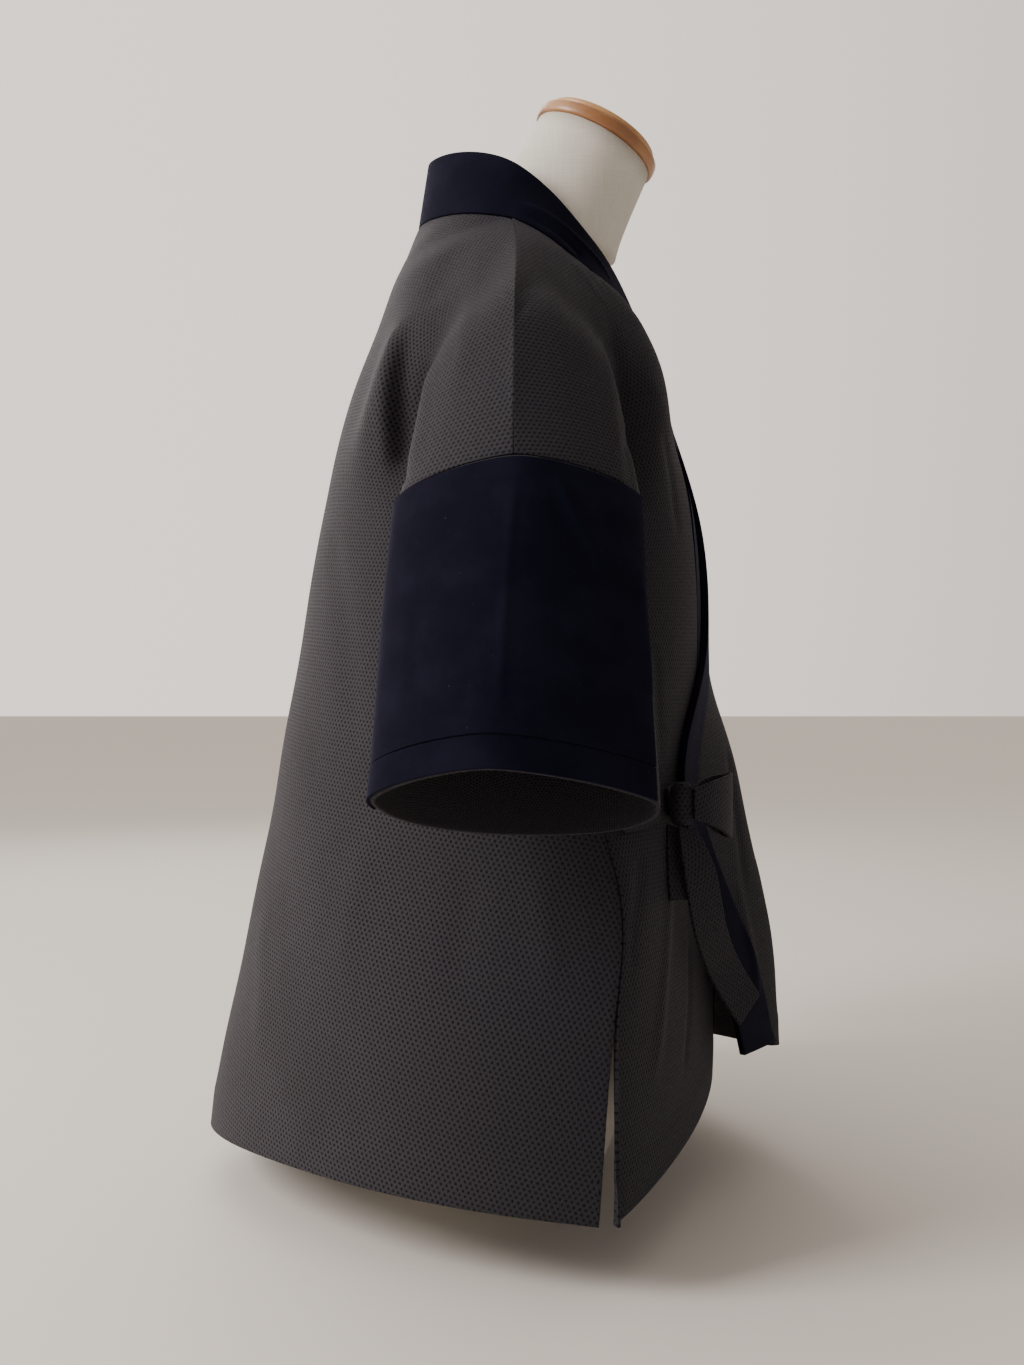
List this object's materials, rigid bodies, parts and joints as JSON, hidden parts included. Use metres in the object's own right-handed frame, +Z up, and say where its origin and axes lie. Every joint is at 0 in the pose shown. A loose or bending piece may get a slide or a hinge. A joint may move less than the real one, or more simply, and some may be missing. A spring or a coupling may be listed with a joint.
{
  "type": "samue on dress form",
  "caption": "Crossover samue jacket of perforated spacer mesh with a velvet collar band, sleeve patches and cuffs, tied in a bow at the hip, worn by a limbless dress form with a wooden neck cap.",
  "frame": {"origin": "on the dress form's flat base, under its waist's middle", "axes": "+X is the wearer's front, +Y is the wearer's left, +Z is up"},
  "size_m": [0.4843, 0.727, 0.8947],
  "materials": {
    "spacer_mesh": "thick black knitted mesh with small staggered holes",
    "velvet": "near-black navy velvet with a short pile",
    "form_cloth": "off-white plain-woven linen cover",
    "beech": "turned light wood with a satin varnish"
  },
  "bodies": {
    "root": {"back_panel": "spacer_mesh", "right_front": "spacer_mesh", "left_front": "spacer_mesh", "right_sleeve": "spacer_mesh", "left_sleeve": "spacer_mesh", "collar_band": "velvet", "right_patch": "velvet", "left_patch": "velvet", "right_cuff_band": "velvet", "left_cuff_band": "velvet", "side_tie": "spacer_mesh", "front_tie": "spacer_mesh", "bow_loop": "spacer_mesh", "short_tail": "spacer_mesh", "long_tail": "spacer_mesh", "knot": "spacer_mesh", "form_body": "form_cloth", "form_cap_ring": "beech", "form_cap_dome": "beech"}
  },
  "joints": []
}
